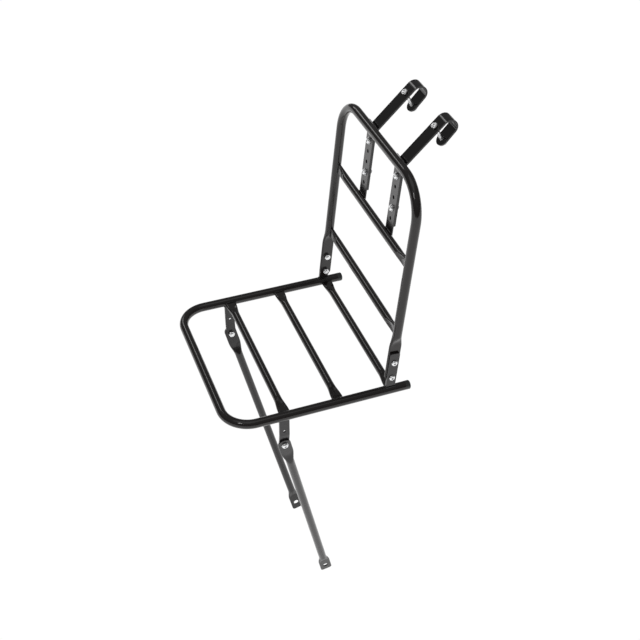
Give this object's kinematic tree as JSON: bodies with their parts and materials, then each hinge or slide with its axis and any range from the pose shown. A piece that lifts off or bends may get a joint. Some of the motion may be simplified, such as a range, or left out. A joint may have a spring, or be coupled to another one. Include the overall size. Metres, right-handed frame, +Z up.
{
  "type": "bicycle front carrier",
  "caption": "Tubular steel front luggage carrier: slatted platform, leaning back hoop, two handlebar hook arms and two swinging axle stays, gloss black.",
  "frame": {"origin": "middle of the handlebar's axis, between the two hooks", "axes": "+X to the rider's left, +Y rearward towards the rider, +Z up, as fitted to an upright bicycle"},
  "size_m": [0.34, 0.4292, 0.9961],
  "materials": {
    "tube_enamel": "gloss black stoved enamel over steel tube",
    "plate_enamel": "gloss black enamel over pressed steel plate",
    "hook_enamel": "gloss black enamel over bent flat bar",
    "zinc_steel": "bright zinc-plated steel",
    "cap_plastic": "moulded black polyethylene"
  },
  "bodies": {
    "carrier": {"arm_bolts": "zinc_steel", "arm_nuts": "zinc_steel", "arm_washers": "zinc_steel", "clamp_bolts": "zinc_steel", "clamp_nuts": "zinc_steel", "drilled_strip_left": "plate_enamel", "drilled_strip_right": "plate_enamel", "foot_bolts": "zinc_steel", "foot_nuts": "zinc_steel", "hook_arm_left": "hook_enamel", "hook_arm_right": "hook_enamel", "hoop_cross_tube_lower": "tube_enamel", "hoop_cross_tube_upper": "tube_enamel", "hoop_tab_left": "plate_enamel", "hoop_tab_right": "plate_enamel", "hoop_tube": "tube_enamel", "pivot_bolts": "zinc_steel", "pivot_nuts": "zinc_steel", "pivot_washers": "zinc_steel", "platform_cross_tube_front": "tube_enamel", "platform_cross_tube_middle": "tube_enamel", "platform_cross_tube_rear": "tube_enamel", "platform_tube": "tube_enamel", "rail_cap_left": "cap_plastic", "rail_cap_right": "cap_plastic", "stay_bracket_left": "plate_enamel", "stay_bracket_right": "plate_enamel"},
    "stay_left": {"stay_left": "tube_enamel"},
    "stay_right": {"stay_right": "tube_enamel"}
  },
  "joints": [
    {"name": "stay_left_swing", "type": "hinge", "parent": "carrier", "child": "stay_left", "pos_m": [0.15796, -0.30996, -0.5092], "axis": [0.9888, 0, -0.1495], "range_deg": [-115, 85]},
    {"name": "stay_right_swing", "type": "hinge", "parent": "carrier", "child": "stay_right", "pos_m": [-0.15796, -0.30996, -0.5092], "axis": [0.9888, 0, 0.1495], "range_deg": [-115, 85]}
  ]
}
